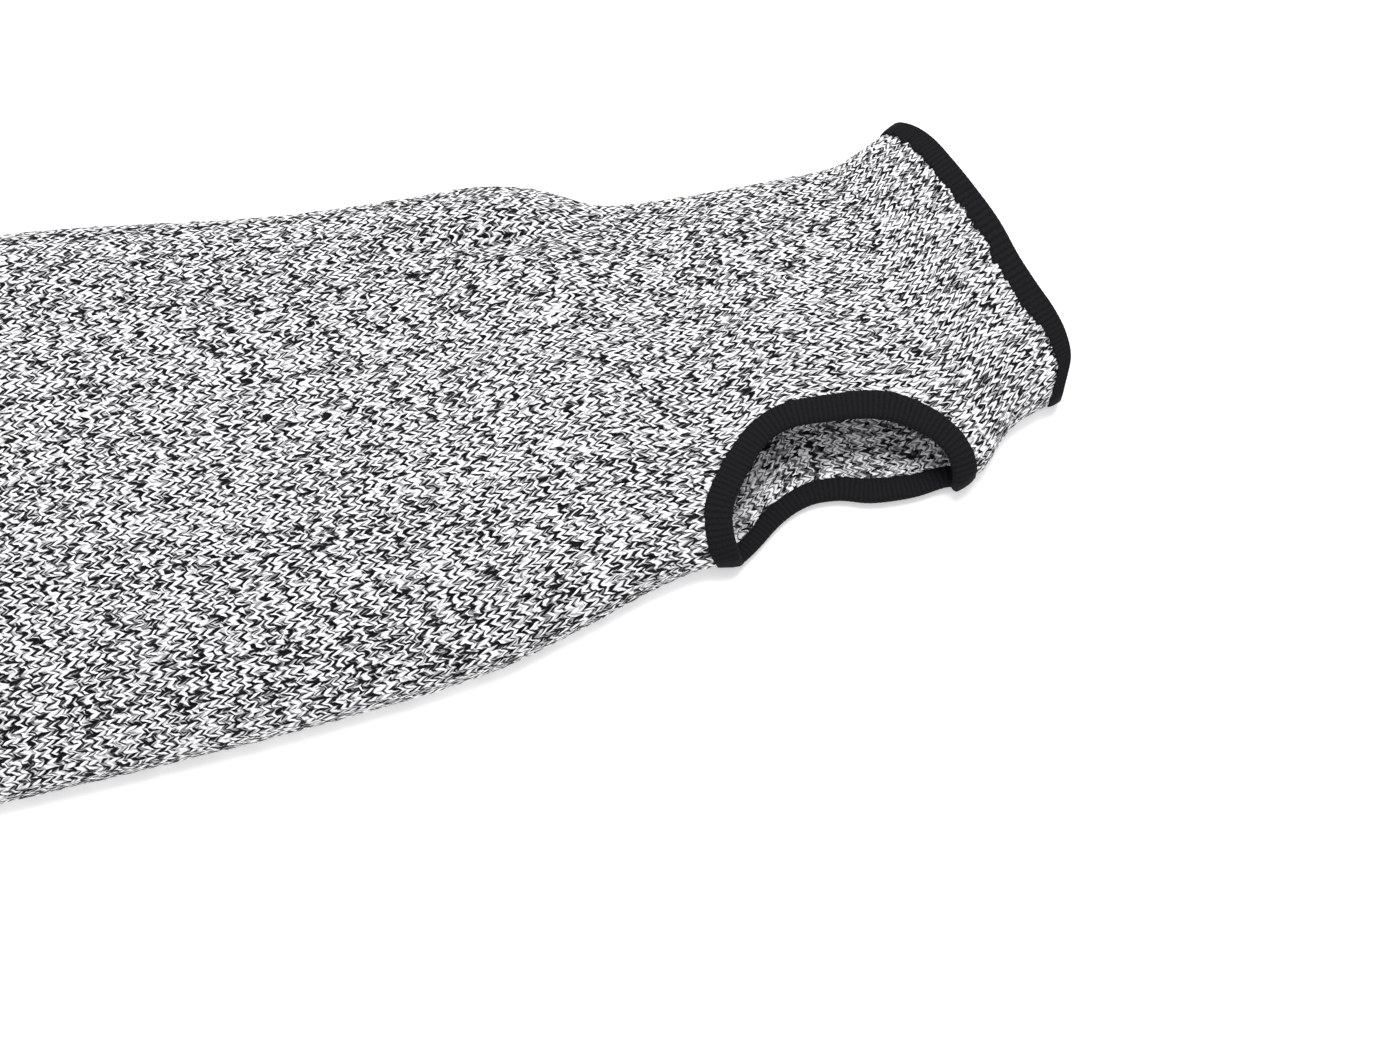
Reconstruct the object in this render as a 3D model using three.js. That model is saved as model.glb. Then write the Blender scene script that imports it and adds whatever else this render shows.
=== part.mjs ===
// A cut resistant sleeve lying flat: a seamless knitted tube for the forearm
// and hand, with knitted edging bound over both ends and over its thumb slot.
// Millimetres and degrees, +Z up, +X towards the hand.

import * as THREE from 'three';
import { LoftGeometry } from 'three/addons/geometries/LoftGeometry.js';
import { mergeGeometries } from 'three/addons/utils/BufferGeometryUtils.js';

const { degToRad, lerp, smoothstep } = THREE.MathUtils;

// Sleeve, measured as it lies: length, widths across, and the height of the
// upper layer's middle line over the floor
const LENGTH = 446;
const ARM_WIDTH = 168;
const WRIST_WIDTH = 101;
const HAND_WIDTH = 94;
const ARM_CROWN = 24;
const WRIST_CROWN = 19;
const HAND_CROWN = 17;
const FOLD_HEIGHT = 6;

// The arm part is straight, and then the sleeve bends sideways towards the hand
const STRAIGHT_LENGTH = 200;
const HAND_OFFSET = 24;
const HAND_CORNER_SETBACK = 8;

// Cloth and edging
const KNIT_THICKNESS = 1.2;
const EDGING_THICKNESS = 0.8;
const EDGING_WIDTH = 6.5;
const SEAM_GAP = 0.25;

// Thumb slot, on the near side fold: its lips are angles round the tube,
// counted from the fold over the top and under the bottom
const SLOT_LENGTH = 58;
const SLOT_TO_HAND = 66;
const UPPER_LIP = degToRad(59);
const LOWER_LIP = degToRad(30);

// Exponents of the rounded forms: 1 is an ellipse, less is squarer
const SIDE_FULLNESS = 0.92;
const TOP_FULLNESS = 0.75;
const UNDERSIDE_FULLNESS = 0.25;

// How soon ridges and dents grow to their full height above the folds
const WRINKLE_GROWTH = 3;

// The underside is flat on the floor, apart from where edging lifts the cloth
const UNDERSIDE_PRESS = 1.06;
const EDGING_LIFT = SEAM_GAP + EDGING_THICKNESS;
const LIFT_RUN = 30;

// Half widths to the far and near side fold and the crown height, by the
// share of the length from the arm end
const SECTIONS = [
  { at: 0.000, far: 0.500 * ARM_WIDTH, near: 0.500 * ARM_WIDTH, crown: 1.00 * ARM_CROWN },
  { at: 0.220, far: 0.487 * ARM_WIDTH, near: 0.485 * ARM_WIDTH, crown: 0.96 * ARM_CROWN },
  { at: 0.425, far: 0.463 * ARM_WIDTH, near: 0.457 * ARM_WIDTH, crown: 0.90 * ARM_CROWN },
  { at: 0.560, far: 0.421 * ARM_WIDTH, near: 0.430 * ARM_WIDTH, crown: 0.86 * ARM_CROWN },
  { at: 0.650, far: 0.407 * ARM_WIDTH, near: 0.400 * ARM_WIDTH, crown: 0.86 * ARM_CROWN },
  { at: 0.700, far: 0.400 * ARM_WIDTH, near: 0.364 * ARM_WIDTH, crown: 0.84 * ARM_CROWN },
  { at: 0.735, far: 0.372 * ARM_WIDTH, near: 0.336 * ARM_WIDTH, crown: 0.80 * ARM_CROWN },
  { at: 0.770, far: 0.530 * WRIST_WIDTH, near: 0.536 * WRIST_WIDTH, crown: 1.00 * WRIST_CROWN },
  { at: 0.800, far: 0.500 * WRIST_WIDTH, near: 0.548 * WRIST_WIDTH, crown: 1.00 * WRIST_CROWN },
  { at: 0.840, far: 0.476 * WRIST_WIDTH, near: 0.496 * WRIST_WIDTH, crown: 1.00 * WRIST_CROWN },
  { at: 0.870, far: 0.458 * WRIST_WIDTH, near: 0.516 * WRIST_WIDTH, crown: 1.00 * WRIST_CROWN },
  { at: 0.900, far: 0.440 * WRIST_WIDTH, near: 0.542 * WRIST_WIDTH, crown: 0.97 * WRIST_CROWN },
  { at: 0.935, far: 0.456 * HAND_WIDTH, near: 0.560 * HAND_WIDTH, crown: 1.05 * HAND_CROWN },
  { at: 0.962, far: 0.472 * HAND_WIDTH, near: 0.482 * HAND_WIDTH, crown: 1.00 * HAND_CROWN },
  { at: 1.000, far: 0.505 * HAND_WIDTH, near: 0.452 * HAND_WIDTH, crown: 0.95 * HAND_CROWN },
];

// Rim of the hand opening: the place across (-1 near fold, 1 far fold), how
// far it is set back and how wide its edging is there
const HAND_RIM = [
  { across: -1.00, setback: 0.90 * HAND_CORNER_SETBACK, edging: 0.46 * EDGING_WIDTH },
  { across: -0.87, setback: 0.26 * HAND_CORNER_SETBACK, edging: 0.50 * EDGING_WIDTH },
  { across: -0.72, setback: 0.00 * HAND_CORNER_SETBACK, edging: 0.62 * EDGING_WIDTH },
  { across: -0.55, setback: -0.04 * HAND_CORNER_SETBACK, edging: 0.82 * EDGING_WIDTH },
  { across: -0.35, setback: 0.06 * HAND_CORNER_SETBACK, edging: 0.90 * EDGING_WIDTH },
  { across: -0.15, setback: 0.11 * HAND_CORNER_SETBACK, edging: 0.87 * EDGING_WIDTH },
  { across: 0.05, setback: 0.06 * HAND_CORNER_SETBACK, edging: 0.85 * EDGING_WIDTH },
  { across: 0.30, setback: 0.16 * HAND_CORNER_SETBACK, edging: 0.92 * EDGING_WIDTH },
  { across: 0.55, setback: 0.30 * HAND_CORNER_SETBACK, edging: 0.93 * EDGING_WIDTH },
  { across: 0.75, setback: 0.44 * HAND_CORNER_SETBACK, edging: 0.92 * EDGING_WIDTH },
  { across: 0.88, setback: 0.65 * HAND_CORNER_SETBACK, edging: 0.90 * EDGING_WIDTH },
  { across: 1.00, setback: 1.00 * HAND_CORNER_SETBACK, edging: 0.85 * EDGING_WIDTH },
];

// Rim of the thumb slot, from its hand side tip over the upper lip and back
// under the lower lip: the place from the slot's middle, the angle round the
// tube and the width of the edging there
const SLOT_RIM = [
  { along: 0.980 * SLOT_LENGTH / 2, around: 0.00 * UPPER_LIP, edging: 0.85 * EDGING_WIDTH },
  { along: 0.940 * SLOT_LENGTH / 2, around: 0.59 * UPPER_LIP, edging: 0.88 * EDGING_WIDTH },
  { along: 0.610 * SLOT_LENGTH / 2, around: 0.925 * UPPER_LIP, edging: 1.00 * EDGING_WIDTH },
  { along: 0.000 * SLOT_LENGTH / 2, around: 0.99 * UPPER_LIP, edging: 0.92 * EDGING_WIDTH },
  { along: -0.560 * SLOT_LENGTH / 2, around: 0.97 * UPPER_LIP, edging: 0.88 * EDGING_WIDTH },
  { along: -0.960 * SLOT_LENGTH / 2, around: 0.64 * UPPER_LIP, edging: 1.00 * EDGING_WIDTH },
  { along: -0.985 * SLOT_LENGTH / 2, around: 0.05 * UPPER_LIP, edging: 0.92 * EDGING_WIDTH },
  { along: -0.870 * SLOT_LENGTH / 2, around: -0.55 * LOWER_LIP, edging: 0.60 * EDGING_WIDTH },
  { along: -0.530 * SLOT_LENGTH / 2, around: -0.98 * LOWER_LIP, edging: 0.65 * EDGING_WIDTH },
  { along: 0.000 * SLOT_LENGTH / 2, around: -0.90 * LOWER_LIP, edging: 0.80 * EDGING_WIDTH },
  { along: 0.340 * SLOT_LENGTH / 2, around: -0.63 * LOWER_LIP, edging: 0.85 * EDGING_WIDTH },
  { along: 0.910 * SLOT_LENGTH / 2, around: -0.62 * LOWER_LIP, edging: 0.70 * EDGING_WIDTH },
];

// Soft ridges (+) and dents (-) of the upper layer: the place by the share of
// the length and of the half width (- near, + far), the heading in degrees,
// and half the length, half the width and the height as shares of the arm's
const WRINKLES = [
  { at: 0.700, across: 0.66, heading: -4, long: 0.130 * ARM_WIDTH, wide: 0.030 * ARM_WIDTH, high: -0.14 * ARM_CROWN },
  { at: 0.665, across: 0.82, heading: 0, long: 0.140 * ARM_WIDTH, wide: 0.040 * ARM_WIDTH, high: 0.06 * ARM_CROWN },
  { at: 0.500, across: -0.62, heading: 14, long: 0.360 * ARM_WIDTH, wide: 0.060 * ARM_WIDTH, high: 0.06 * ARM_CROWN },
  { at: 0.620, across: -0.25, heading: 16, long: 0.420 * ARM_WIDTH, wide: 0.055 * ARM_WIDTH, high: 0.07 * ARM_CROWN },
  { at: 0.770, across: -0.45, heading: 35, long: 0.120 * ARM_WIDTH, wide: 0.040 * ARM_WIDTH, high: -0.05 * ARM_CROWN },
];

// Mesh: rows along the arm part and past the slot, columns round the tube, and
// the block of rows and columns that gives way to rings round the slot
const ARM_ROWS = 25;
const SLOT_ROWS = 9;
const HAND_ROWS = 2;
const COLUMNS = 36;
const SLOT_COLUMNS_OVER = 8;
const SLOT_COLUMNS_UNDER = 6;
const SLOT_MARGIN = 7;
const SLOT_BLEND = [0.45, 1];
const WALK_STEPS = 4;

const KNIT = new THREE.MeshStandardMaterial({ color: 0xafaeb2, roughness: 0.95, metalness: 0 });
const EDGING = new THREE.MeshStandardMaterial({ color: 0x242426, roughness: 0.9, metalness: 0 });

const UP = new THREE.Vector3(0, 0, 1);
const SLOT_MIDDLE = LENGTH - SLOT_TO_HAND;
const SLOT_REACH = SLOT_LENGTH / 2 + EDGING_WIDTH + SLOT_MARGIN;

const sectionCurve = new THREE.CubicInterpolant(
  SECTIONS.map((section) => section.at),
  SECTIONS.flatMap((section) => [section.far, section.near, section.crown]),
  3,
);

const handRimCurve = new THREE.CubicInterpolant(
  HAND_RIM.map((place) => place.across),
  HAND_RIM.flatMap((place) => [place.setback, place.edging]),
  2,
);

const slotRimCurve = new THREE.CatmullRomCurve3(
  SLOT_RIM.map((place) => new THREE.Vector3(place.along, place.around, place.edging)),
  true,
  'catmullrom',
);

function sectionAt(along) {
  const [far, near, crown] = sectionCurve.evaluate(along / LENGTH);
  return { far, near, crown };
}

function handRimAt(around) {
  const [setback, edging] = handRimCurve.evaluate(-Math.cos(around));
  return { setback, edging };
}

function signedPower(value, exponent) {
  return Math.sign(value) * Math.abs(value) ** exponent;
}

// Centre line on the floor: its point, its heading and the direction to the far side
function centreLine(along) {
  const run = LENGTH - STRAIGHT_LENGTH;
  const share = Math.max(0, (along - STRAIGHT_LENGTH) / run);
  const ahead = new THREE.Vector3(1, 3 * HAND_OFFSET * share ** 2 / run, 0).normalize();
  return {
    point: new THREE.Vector3(along, HAND_OFFSET * share ** 3, 0),
    ahead,
    sideways: new THREE.Vector3(-ahead.y, ahead.x, 0),
  };
}

function wrinkleHeight(point, wrinkle) {
  const along = wrinkle.at * LENGTH;
  const { far, near } = sectionAt(along);
  const line = centreLine(along);
  const reach = wrinkle.across > 0 ? far : near;
  const offset = point.clone().sub(line.point).addScaledVector(line.sideways, -reach * wrinkle.across);
  offset.applyAxisAngle(UP, -degToRad(wrinkle.heading));
  return wrinkle.high * Math.exp(-((offset.x / wrinkle.long) ** 2) - (offset.y / wrinkle.wide) ** 2);
}

// How far the cloth's underside is held off the floor by the edging under it
function liftAt(along) {
  const slotStart = SLOT_MIDDLE - SLOT_LENGTH / 2 - EDGING_WIDTH;
  const armPart = 1 - smoothstep(along, EDGING_WIDTH, EDGING_WIDTH + LIFT_RUN);
  const handPart = smoothstep(along, slotStart - LIFT_RUN, slotStart);
  return EDGING_LIFT * (armPart + handPart);
}

// Middle of the cloth's thickness, by the distance from the arm end and the
// angle round the tube: 0 at the near fold, over the top, 180 at the far fold
function clothPoint(along, around) {
  const { far, near, crown } = sectionAt(along);
  const line = centreLine(along);
  const across = (far - near) / 2 - (far + near) / 2 * signedPower(Math.cos(around), SIDE_FULLNESS);
  const setback = smoothstep(along, SLOT_MIDDLE, LENGTH) ** 2 * handRimAt(around).setback;
  const point = line.point.clone()
    .addScaledVector(line.sideways, across)
    .addScaledVector(line.ahead, -setback);
  const rise = Math.sin(around);
  if (rise >= 0) {
    const wrinkles = WRINKLES.reduce((sum, wrinkle) => sum + wrinkleHeight(point, wrinkle), 0);
    point.z = FOLD_HEIGHT + (crown - FOLD_HEIGHT) * rise ** TOP_FULLNESS + wrinkles * Math.min(1, WRINKLE_GROWTH * rise);
  } else {
    const ground = KNIT_THICKNESS / 2 + liftAt(along);
    const curl = Math.max(0, 1 - UNDERSIDE_PRESS * (-rise) ** UNDERSIDE_FULLNESS);
    point.z = ground + (FOLD_HEIGHT - ground) * curl;
  }
  return point;
}

// Directions on the cloth: along it, round it, and its outward normal
function clothSlopes(along, around) {
  const stride = 0.5;
  const turn = 0.01;
  const ahead = clothPoint(Math.min(along + stride, LENGTH), around)
    .sub(clothPoint(Math.max(along - stride, 0), around));
  ahead.divideScalar(Math.min(along + stride, LENGTH) - Math.max(along - stride, 0));
  const round = clothPoint(along, around + turn).sub(clothPoint(along, around - turn)).divideScalar(2 * turn);
  return { ahead, round, normal: ahead.clone().cross(round).normalize() };
}

function clothNode(along, around) {
  return { along, around, point: clothPoint(along, around), normal: clothSlopes(along, around).normal };
}

function steps(from, to, count) {
  return Array.from({ length: count + 1 }, (_, i) => lerp(from, to, i / count));
}

// Rim of the thumb slot, by an angle that starts at its hand side tip
function slotRim(angle) {
  const { x, y, z } = slotRimCurve.getPoint(angle / (2 * Math.PI));
  return { along: SLOT_MIDDLE + x, around: y, edging: z };
}

// The place on the cloth at the back of the slot's edging
function behindSlotEdging(angle) {
  const turn = 0.02;
  const place = slotRim(angle);
  const before = slotRim(angle - turn);
  const after = slotRim(angle + turn);
  const rimLine = clothPoint(after.along, after.around).sub(clothPoint(before.along, before.around));
  for (let i = 0; i < WALK_STEPS; i++) {
    const { ahead, round, normal } = clothSlopes(place.along, place.around);
    const heading = rimLine.clone().cross(normal).normalize().multiplyScalar(place.edging / WALK_STEPS);
    const grid = new THREE.Matrix3().set(
      ahead.x, round.x, normal.x,
      ahead.y, round.y, normal.y,
      ahead.z, round.z, normal.z,
    ).invert();
    heading.applyMatrix3(grid);
    place.along += heading.x;
    place.around += heading.y;
  }
  return place;
}

// Rows of nodes round the tube, from the hand end to the arm end
const slotEnds = [SLOT_MIDDLE + SLOT_REACH, SLOT_MIDDLE - SLOT_REACH];
const handRows = [LENGTH, ...steps(LENGTH - EDGING_WIDTH, slotEnds[0], HAND_ROWS)];
const slotRows = steps(slotEnds[0], slotEnds[1], SLOT_ROWS);
const armRows = [...steps(slotEnds[1], EDGING_WIDTH, ARM_ROWS), 0];
const columnAngle = (column) => column / COLUMNS * 2 * Math.PI;
const ring = (along) => Array.from({ length: COLUMNS }, (_, i) => clothNode(along, columnAngle(i)));
const strip = (along) => Array.from(
  { length: COLUMNS - SLOT_COLUMNS_OVER - SLOT_COLUMNS_UNDER + 1 },
  (_, i) => clothNode(along, columnAngle(i + SLOT_COLUMNS_OVER)),
);

// Nodes on the cloth along the back of the hand end's edging
const handEdgingBack = Array.from({ length: COLUMNS }, (_, i) => {
  const around = columnAngle(i);
  return clothNode(LENGTH - handRimAt(around).edging, around);
});

// Rings of nodes round the slot: the rim, the edging's back edge, and blends
// to the outline of the block of rows and columns
function slotRings() {
  const top = columnAngle(SLOT_COLUMNS_OVER);
  const bottom = columnAngle(-SLOT_COLUMNS_UNDER);
  const columns = steps(bottom, top, SLOT_COLUMNS_OVER + SLOT_COLUMNS_UNDER);
  const outline = [
    ...slotRows.slice(0, -1).map((along) => [along, bottom]),
    ...columns.slice(0, -1).map((around) => [slotEnds[1], around]),
    ...slotRows.toReversed().slice(0, -1).map((along) => [along, top]),
    ...columns.toReversed().slice(0, -1).map((around) => [slotEnds[0], around]),
  ];
  const angles = outline.map(([along, around]) => Math.atan2(
    around / (around > 0 ? top : -bottom),
    (along - SLOT_MIDDLE) / SLOT_REACH,
  ));
  const rim = angles.map(slotRim);
  const back = angles.map(behindSlotEdging);
  const blends = SLOT_BLEND.map((share) => outline.map(([along, around], i) => ({
    along: lerp(back[i].along, along, share),
    around: lerp(back[i].around, around, share),
  })));
  return [rim, back, ...blends].map((places) => places.map((place) => clothNode(place.along, place.around)));
}

// Point at a height over the cloth's middle, moved out past a rim
function over(node, height, past = 0, outward = node.normal) {
  return node.point.clone().addScaledVector(node.normal, height).addScaledVector(outward, past);
}

function mergeLofts(lofts) {
  const geometry = mergeGeometries(lofts);
  geometry.computeVertexNormals();
  return geometry;
}

// Outer or inner face of the cloth over rows of nodes, and the closed edge of
// the cloth along a rim
function face(rows, side, closed) {
  const sections = rows.map((row) => row.map((node) => over(node, side * KNIT_THICKNESS / 2)));
  return new LoftGeometry(side > 0 ? sections : sections.toReversed(), { closed });
}

function rimEdge(rim) {
  const sides = [-1, 1].map((side) => rim.map((node) => over(node, side * KNIT_THICKNESS / 2)));
  return new LoftGeometry(sides);
}

function knittedTube(rings) {
  const hand = handRows.map(ring);
  const arm = armRows.map(ring);
  const beside = slotRows.map(strip);
  const faces = [1, -1].flatMap((side) => [
    face(hand, side, true),
    face(arm, side, true),
    face(beside, side, false),
    face(rings, side, true),
  ]);
  const edges = [hand[0], arm.at(-1).toReversed(), rings[0]].map(rimEdge);
  return mergeLofts([...faces, ...edges]);
}

// Edging folded over a rim: a channel that stands a seam gap off the cloth on
// both sides and at the rim
function boundEdging(rim, back) {
  const inside = KNIT_THICKNESS / 2 + SEAM_GAP;
  const outside = inside + EDGING_THICKNESS;
  const sections = rim.map((node, i) => {
    const outward = node.point.clone().sub(back[i].point).projectOnPlane(node.normal).normalize();
    return [
      over(back[i], outside),
      over(node, outside),
      over(node, outside / 2, SEAM_GAP + EDGING_THICKNESS, outward),
      over(node, -outside / 2, SEAM_GAP + EDGING_THICKNESS, outward),
      over(node, -outside),
      over(back[i], -outside),
      over(back[i], -inside),
      over(node, -inside, SEAM_GAP, outward),
      over(node, inside, SEAM_GAP, outward),
      over(back[i], inside),
    ];
  });
  return new LoftGeometry([...sections, sections[0]]);
}

function piece(name, geometry, material) {
  const mesh = new THREE.Mesh(geometry, material);
  mesh.name = name;
  return mesh;
}

const rings = slotRings();
const handEnd = [ring(LENGTH), handEdgingBack];
const armEnd = [0, EDGING_WIDTH].map((along) => ring(along).toReversed());

const sleeve = new THREE.Group();
sleeve.add(
  piece('sleeve_body', knittedTube(rings), KNIT),
  piece('hand_binding', boundEdging(...handEnd), EDGING),
  piece('thumb_binding', boundEdging(rings[0], rings[1]), EDGING),
  piece('arm_binding', boundEdging(...armEnd), EDGING),
);

// The origin is under the middle of the whole sleeve, on the floor
const box = new THREE.Box3().setFromObject(sleeve, true);
const middle = box.getCenter(new THREE.Vector3());
sleeve.position.set(-middle.x, -middle.y, -box.min.z);

export default sleeve;
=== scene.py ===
import math
import bpy
import numpy as np
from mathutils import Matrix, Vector


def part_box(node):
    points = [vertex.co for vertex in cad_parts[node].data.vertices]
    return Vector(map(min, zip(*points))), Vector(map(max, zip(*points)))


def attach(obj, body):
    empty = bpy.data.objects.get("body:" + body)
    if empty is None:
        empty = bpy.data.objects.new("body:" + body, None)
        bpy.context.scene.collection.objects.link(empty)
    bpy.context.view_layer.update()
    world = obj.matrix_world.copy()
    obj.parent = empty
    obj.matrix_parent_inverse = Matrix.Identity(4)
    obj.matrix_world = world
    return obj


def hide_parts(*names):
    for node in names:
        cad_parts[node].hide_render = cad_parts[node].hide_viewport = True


# A knitted cut resistant sleeve that lies on a pale floor: grey marled jersey
# with near-black ribbed edging round its two ends and its thumb slot.
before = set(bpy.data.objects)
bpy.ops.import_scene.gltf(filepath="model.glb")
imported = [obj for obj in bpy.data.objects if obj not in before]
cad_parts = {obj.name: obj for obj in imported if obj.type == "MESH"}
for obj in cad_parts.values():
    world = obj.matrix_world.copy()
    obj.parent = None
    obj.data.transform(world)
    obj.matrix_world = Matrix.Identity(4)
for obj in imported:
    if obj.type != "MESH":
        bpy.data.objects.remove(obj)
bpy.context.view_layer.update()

MM = 0.001

# Sleeve, as it lies: length, widths across and the heights of the upper layer
LENGTH = 446 * MM
ARM_WIDTH = 168 * MM
WRIST_WIDTH = 101 * MM
HAND_WIDTH = 94 * MM
ARM_CROWN = 24 * MM
WRIST_CROWN = 19 * MM
HAND_CROWN = 17 * MM
FOLD_HEIGHT = 6 * MM
STRAIGHT_LENGTH = 200 * MM
HAND_OFFSET = 24 * MM
HAND_CORNER_SETBACK = 8 * MM

# Cloth and edging
KNIT_THICKNESS = 1.2 * MM
EDGING_THICKNESS = 0.8 * MM
EDGING_WIDTH = 6.5 * MM
SEAM_GAP = 0.25 * MM
EDGING_LIFT = SEAM_GAP + EDGING_THICKNESS
LIFT_RUN = 30 * MM

# Thumb slot on the near side fold, its lips as angles round the tube
SLOT_LENGTH = 58 * MM
SLOT_TO_HAND = 66 * MM
UPPER_LIP = math.radians(59)
LOWER_LIP = math.radians(30)
SLOT_MIDDLE = LENGTH - SLOT_TO_HAND
SLOT_MARGIN = 7 * MM
SLOT_REACH = SLOT_LENGTH / 2 + EDGING_WIDTH + SLOT_MARGIN

# Exponents of the rounded forms
SIDE_FULLNESS = 0.92
TOP_FULLNESS = 0.75
UNDERSIDE_FULLNESS = 0.25
UNDERSIDE_PRESS = 1.06
WRINKLE_GROWTH = 3

# Share of the length, half width to the far fold, to the near fold, crown height
SECTIONS = np.array([
    (0.000, 0.500 * ARM_WIDTH, 0.500 * ARM_WIDTH, 1.00 * ARM_CROWN),
    (0.220, 0.487 * ARM_WIDTH, 0.485 * ARM_WIDTH, 0.96 * ARM_CROWN),
    (0.425, 0.463 * ARM_WIDTH, 0.457 * ARM_WIDTH, 0.90 * ARM_CROWN),
    (0.560, 0.421 * ARM_WIDTH, 0.430 * ARM_WIDTH, 0.86 * ARM_CROWN),
    (0.650, 0.407 * ARM_WIDTH, 0.400 * ARM_WIDTH, 0.86 * ARM_CROWN),
    (0.700, 0.400 * ARM_WIDTH, 0.364 * ARM_WIDTH, 0.84 * ARM_CROWN),
    (0.735, 0.372 * ARM_WIDTH, 0.336 * ARM_WIDTH, 0.80 * ARM_CROWN),
    (0.770, 0.530 * WRIST_WIDTH, 0.536 * WRIST_WIDTH, 1.00 * WRIST_CROWN),
    (0.800, 0.500 * WRIST_WIDTH, 0.548 * WRIST_WIDTH, 1.00 * WRIST_CROWN),
    (0.840, 0.476 * WRIST_WIDTH, 0.496 * WRIST_WIDTH, 1.00 * WRIST_CROWN),
    (0.870, 0.458 * WRIST_WIDTH, 0.516 * WRIST_WIDTH, 1.00 * WRIST_CROWN),
    (0.900, 0.440 * WRIST_WIDTH, 0.542 * WRIST_WIDTH, 0.97 * WRIST_CROWN),
    (0.935, 0.456 * HAND_WIDTH, 0.560 * HAND_WIDTH, 1.05 * HAND_CROWN),
    (0.962, 0.472 * HAND_WIDTH, 0.482 * HAND_WIDTH, 1.00 * HAND_CROWN),
    (1.000, 0.505 * HAND_WIDTH, 0.452 * HAND_WIDTH, 0.95 * HAND_CROWN),
])

# Rim of the hand opening: share across (-1 near fold, 1 far fold), how far it
# is set back, and how wide its edging is there
HAND_RIM = np.array([
    (-1.00, 0.90 * HAND_CORNER_SETBACK, 0.46 * EDGING_WIDTH),
    (-0.87, 0.26 * HAND_CORNER_SETBACK, 0.50 * EDGING_WIDTH),
    (-0.72, 0.00 * HAND_CORNER_SETBACK, 0.62 * EDGING_WIDTH),
    (-0.55, -0.04 * HAND_CORNER_SETBACK, 0.82 * EDGING_WIDTH),
    (-0.35, 0.06 * HAND_CORNER_SETBACK, 0.90 * EDGING_WIDTH),
    (-0.15, 0.11 * HAND_CORNER_SETBACK, 0.87 * EDGING_WIDTH),
    (0.05, 0.06 * HAND_CORNER_SETBACK, 0.85 * EDGING_WIDTH),
    (0.30, 0.16 * HAND_CORNER_SETBACK, 0.92 * EDGING_WIDTH),
    (0.55, 0.30 * HAND_CORNER_SETBACK, 0.93 * EDGING_WIDTH),
    (0.75, 0.44 * HAND_CORNER_SETBACK, 0.92 * EDGING_WIDTH),
    (0.88, 0.65 * HAND_CORNER_SETBACK, 0.90 * EDGING_WIDTH),
    (1.00, 1.00 * HAND_CORNER_SETBACK, 0.85 * EDGING_WIDTH),
])

# Rim of the thumb slot, from its hand side tip over the upper lip: distance
# from the slot's middle, angle round the tube, width of the edging
SLOT_RIM = np.array([
    (0.980 * SLOT_LENGTH / 2, 0.00 * UPPER_LIP, 0.85 * EDGING_WIDTH),
    (0.940 * SLOT_LENGTH / 2, 0.59 * UPPER_LIP, 0.88 * EDGING_WIDTH),
    (0.610 * SLOT_LENGTH / 2, 0.925 * UPPER_LIP, 1.00 * EDGING_WIDTH),
    (0.000 * SLOT_LENGTH / 2, 0.99 * UPPER_LIP, 0.92 * EDGING_WIDTH),
    (-0.560 * SLOT_LENGTH / 2, 0.97 * UPPER_LIP, 0.88 * EDGING_WIDTH),
    (-0.960 * SLOT_LENGTH / 2, 0.64 * UPPER_LIP, 1.00 * EDGING_WIDTH),
    (-0.985 * SLOT_LENGTH / 2, 0.05 * UPPER_LIP, 0.92 * EDGING_WIDTH),
    (-0.870 * SLOT_LENGTH / 2, -0.55 * LOWER_LIP, 0.60 * EDGING_WIDTH),
    (-0.530 * SLOT_LENGTH / 2, -0.98 * LOWER_LIP, 0.65 * EDGING_WIDTH),
    (0.000 * SLOT_LENGTH / 2, -0.90 * LOWER_LIP, 0.80 * EDGING_WIDTH),
    (0.340 * SLOT_LENGTH / 2, -0.63 * LOWER_LIP, 0.85 * EDGING_WIDTH),
    (0.910 * SLOT_LENGTH / 2, -0.62 * LOWER_LIP, 0.70 * EDGING_WIDTH),
])

# Soft ridges (+) and dents (-): share of the length, share of the half width
# (- near, + far), heading in degrees, half length, half width, height
WRINKLES = (
    (0.700, 0.67, -4, 0.110 * ARM_WIDTH, 0.020 * ARM_WIDTH, -0.15 * ARM_CROWN),
    (0.665, 0.82, 0, 0.140 * ARM_WIDTH, 0.040 * ARM_WIDTH, 0.06 * ARM_CROWN),
    (0.500, -0.62, 14, 0.360 * ARM_WIDTH, 0.060 * ARM_WIDTH, 0.06 * ARM_CROWN),
    (0.620, -0.25, 16, 0.420 * ARM_WIDTH, 0.055 * ARM_WIDTH, 0.07 * ARM_CROWN),
    (0.770, -0.45, 35, 0.120 * ARM_WIDTH, 0.040 * ARM_WIDTH, -0.05 * ARM_CROWN),
)

# Stitches: width of a wale at the arm end, height of a course, and how far the
# stitches narrow with the sleeve
WALE = 2.4 * MM
COURSE = 2.6 * MM
WALE_NARROWING = 0.4

# How stitches wander: fineness of the noise, and how far it moves them across
# the wales and along the courses
WANDER = (
    (0.45, 0.40, -0.60),
    (0.11, 1.00, 0.00),
    (1.10, 0.35, 1.10),
)

# Jersey: the slant of its legs, how far its columns are out of step, how low a
# leg is at its ends, and how its plies slant
LEG_SLANT = 0.65
COLUMN_SHIFT = 0.8
LEG_END_HEIGHT = 0.75
PLIES = 2.0
PLY_SLANT = 0.6

# Streaks of white and black along the legs, and the share of random yarn, of
# which one part is random for each leg and the rest for each ply
STREAKS_A_COURSE = 2.0
STREAK_NARROWING = 0.5
STREAK_COLUMNS_APART = 17.37
STREAK_RANGE = (0.30, 0.70)
RANDOM_YARN = 0.10
LEG_YARN = 0.3

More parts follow.
